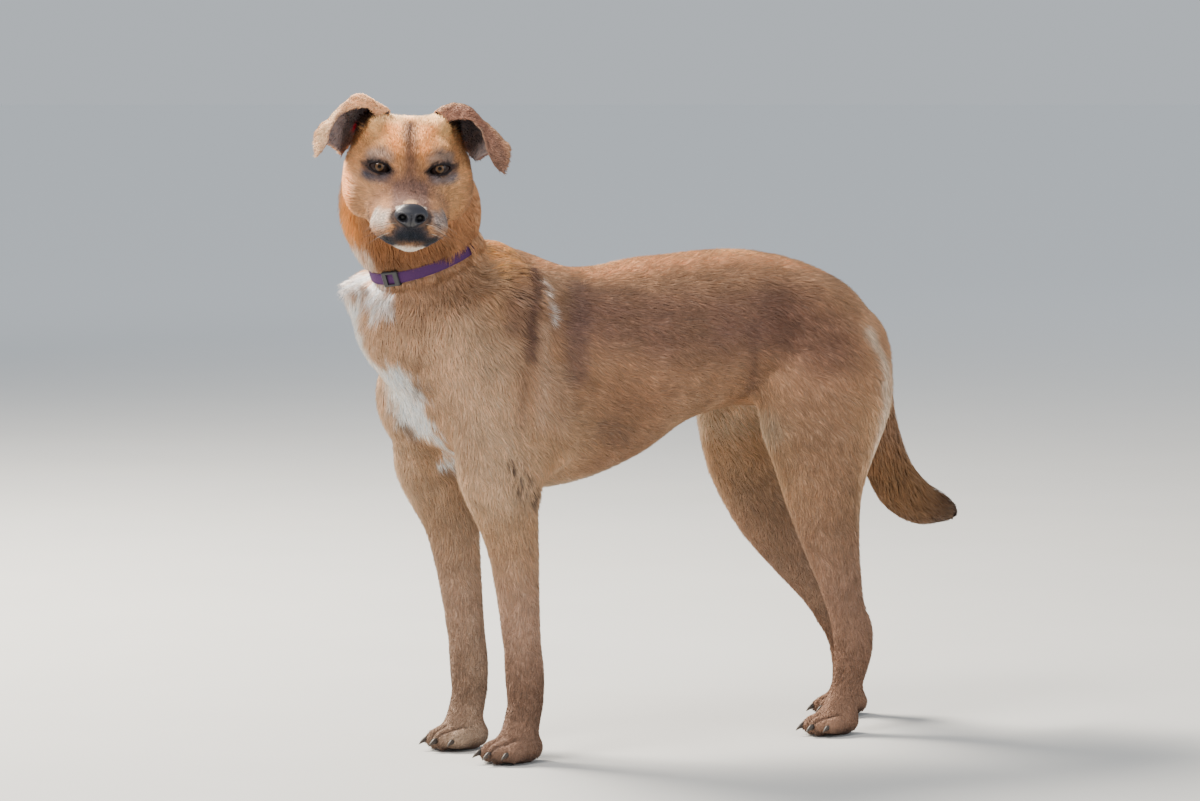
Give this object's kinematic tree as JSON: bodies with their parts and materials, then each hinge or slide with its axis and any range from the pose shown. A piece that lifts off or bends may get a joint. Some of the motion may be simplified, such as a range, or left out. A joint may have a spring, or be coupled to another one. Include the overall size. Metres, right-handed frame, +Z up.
{
  "type": "standing dog figure",
  "caption": "Life-size still figure of a medium-large, short-coated, semi-erect-eared tan dog standing square, head turned to its left, plain collar.",
  "frame": {"origin": "on the floor, under the middle of the bounding box", "axes": "+Z up, the body's length along Y with the forehand toward -Y and the tail toward +Y, the dog's left side toward +X"},
  "size_m": [0.339, 0.9316, 0.7628],
  "materials": {
    "coat_head": "short dense hair",
    "coat_neck": "short dense hair",
    "coat_body": "short dense hair",
    "coat_leg": "short dense hair",
    "coat_tail": "longer hair",
    "coat_ear": "short velvety hair",
    "nose_leather": "damp, finely pebbled",
    "eye": "wet gloss",
    "claw": "worn horn",
    "webbing": "woven",
    "plastic": "moulded"
  },
  "bodies": {
    "root": {"chest": "coat_body", "claw_fore_left_1": "claw", "claw_fore_left_2": "claw", "claw_fore_left_3": "claw", "claw_fore_left_4": "claw", "claw_fore_right_1": "claw", "claw_fore_right_2": "claw", "claw_fore_right_3": "claw", "claw_fore_right_4": "claw", "claw_hind_left_1": "claw", "claw_hind_left_2": "claw", "claw_hind_left_3": "claw", "claw_hind_left_4": "claw", "claw_hind_right_1": "claw", "claw_hind_right_2": "claw", "claw_hind_right_3": "claw", "claw_hind_right_4": "claw", "collar_buckle": "plastic", "collar_strap": "webbing", "ear_left": "coat_ear", "ear_right": "coat_ear", "eye_left": "eye", "eye_right": "eye", "foreleg_left_elbow": "coat_leg", "foreleg_left_foot": "coat_leg", "foreleg_left_forearm": "coat_leg", "foreleg_right_elbow": "coat_leg", "foreleg_right_foot": "coat_leg", "foreleg_right_forearm": "coat_leg", "head": "coat_head", "hindleg_left_foot": "coat_leg", "hindleg_left_gaskin": "coat_leg", "hindleg_left_thigh": "coat_leg", "hindleg_right_foot": "coat_leg", "hindleg_right_gaskin": "coat_leg", "hindleg_right_thigh": "coat_leg", "hips": "coat_body", "loin": "coat_body", "neck": "coat_neck", "nose": "nose_leather", "tail": "coat_tail"}
  },
  "joints": []
}
